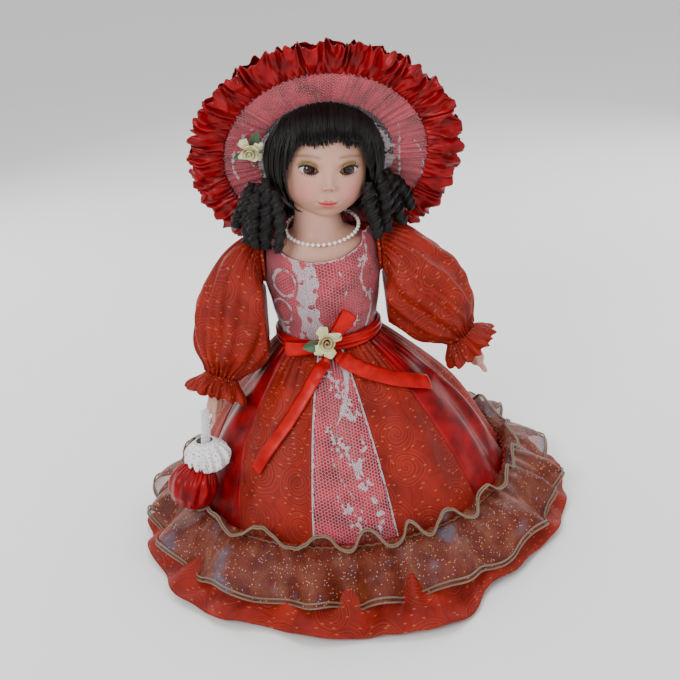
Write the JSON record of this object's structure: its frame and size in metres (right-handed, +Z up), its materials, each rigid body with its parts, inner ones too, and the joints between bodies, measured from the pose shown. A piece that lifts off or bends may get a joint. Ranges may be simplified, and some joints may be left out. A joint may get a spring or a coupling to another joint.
{
  "type": "porcelain doll",
  "caption": "Porcelain-headed doll in a layered ball gown, with a wide ruffled hat, a wrist purse, jointed cloth limbs and a waist-clip stand.",
  "frame": {"origin": "centre of the underside of the stand's base, on the surface it stands on", "axes": "+Z up, the doll faces -Y, +X is the doll's own left"},
  "size_m": [0.353, 0.353, 0.3878],
  "materials": {
    "white_enamel": "gloss enamel",
    "steel_wire": "drawn",
    "muslin": "plain weave",
    "bisque": "matt bisque",
    "card": "matt",
    "eye_glass": "polished",
    "black_fibre": "matt",
    "black_hair": "silky",
    "pearl": "pearlescent",
    "thread": "twisted",
    "pink_satin": "satin",
    "white_net": "open net",
    "brocade": "jacquard",
    "crimson_satin": "satin",
    "red_ribbon": "satin",
    "cream_ribbon": "satin",
    "organza": "sheer iridescent",
    "white_cotton": "plain weave",
    "white_lace": "crochet",
    "black_leatherette": "semi-gloss"
  },
  "bodies": {
    "stand": {"stand_base": "white_enamel", "stand_tube": "steel_wire"},
    "doll": {"stand_rod": "steel_wire", "waist_clip": "white_enamel", "torso": "muslin", "shoulder_head": "bisque", "pate": "card", "eyes": "eye_glass", "eyelashes": "black_fibre", "hair_crown": "black_hair", "hair_fringe": "black_hair", "back_hair": "black_hair", "ringlets_left": "black_hair", "ringlets_right": "black_hair", "pearl_beads": "pearl", "necklace_thread": "thread", "bodice_front": "pink_satin", "bodice_back": "brocade", "bodice_lace": "white_net", "sash": "red_ribbon", "bow_loops": "red_ribbon", "bow_tails": "red_ribbon", "waist_rose": "cream_ribbon", "gore_centre": "pink_satin", "gore_front_left": "brocade", "gore_front_right": "brocade", "gore_side_left": "crimson_satin", "gore_side_right": "crimson_satin", "gore_back_left": "brocade", "gore_back_right": "brocade", "lace_panel": "white_net", "flounce": "brocade", "organza_frill": "organza", "organza_header": "organza", "petticoat": "white_cotton"},
    "hat": {"hat_crown": "crimson_satin", "hat_brim": "pink_satin", "brim_net": "white_net", "hat_ruffle": "crimson_satin", "hat_rose": "cream_ribbon"},
    "arm_left": {"sleeve_left": "brocade", "cuff_left": "brocade", "upper_arm_left": "muslin", "forearm_left": "bisque"},
    "arm_right": {"sleeve_right": "brocade", "cuff_right": "brocade", "upper_arm_right": "muslin", "forearm_right": "bisque", "wrist_loop": "white_lace"},
    "purse": {"purse_strap": "white_lace", "purse_pouch": "crimson_satin", "purse_lace": "white_lace"},
    "leg_left": {"thigh_left": "muslin", "lower_leg_left": "bisque", "shoe_left": "black_leatherette", "pantaloon_left": "white_cotton"},
    "leg_right": {"thigh_right": "muslin", "lower_leg_right": "bisque", "shoe_right": "black_leatherette", "pantaloon_right": "white_cotton"}
  },
  "joints": [
    {"name": "stand_height", "type": "slide", "parent": "stand", "child": "doll", "axis": [0, 0, 1], "range_m": [0, 0.04]},
    {"name": "hat_lift", "type": "slide", "parent": "doll", "child": "hat", "axis": [-0.0113, 0.9041, 0.4272], "range_m": [0, 0.06]},
    {"name": "arm_left_swing", "type": "hinge", "parent": "doll", "child": "arm_left", "pos_m": [0.048, 0, 0.222], "axis": [-1, 0, 0], "range_deg": [0, 35]},
    {"name": "arm_right_swing", "type": "hinge", "parent": "doll", "child": "arm_right", "pos_m": [-0.048, 0, 0.222], "axis": [-1, 0, 0], "range_deg": [0, 25]},
    {"name": "leg_left_swing", "type": "hinge", "parent": "doll", "child": "leg_left", "pos_m": [0.0156, 0, 0.112], "axis": [-1, 0, 0], "range_deg": [-8, 30]},
    {"name": "leg_right_swing", "type": "hinge", "parent": "doll", "child": "leg_right", "pos_m": [-0.0156, 0, 0.112], "axis": [-1, 0, 0], "range_deg": [-8, 30]},
    {"name": "purse_swing", "type": "hinge", "parent": "arm_right", "child": "purse", "pos_m": [-0.0995, -0.042, 0.1225], "axis": [-0.65, 0.76, 0], "range_deg": [0, 30]}
  ]
}
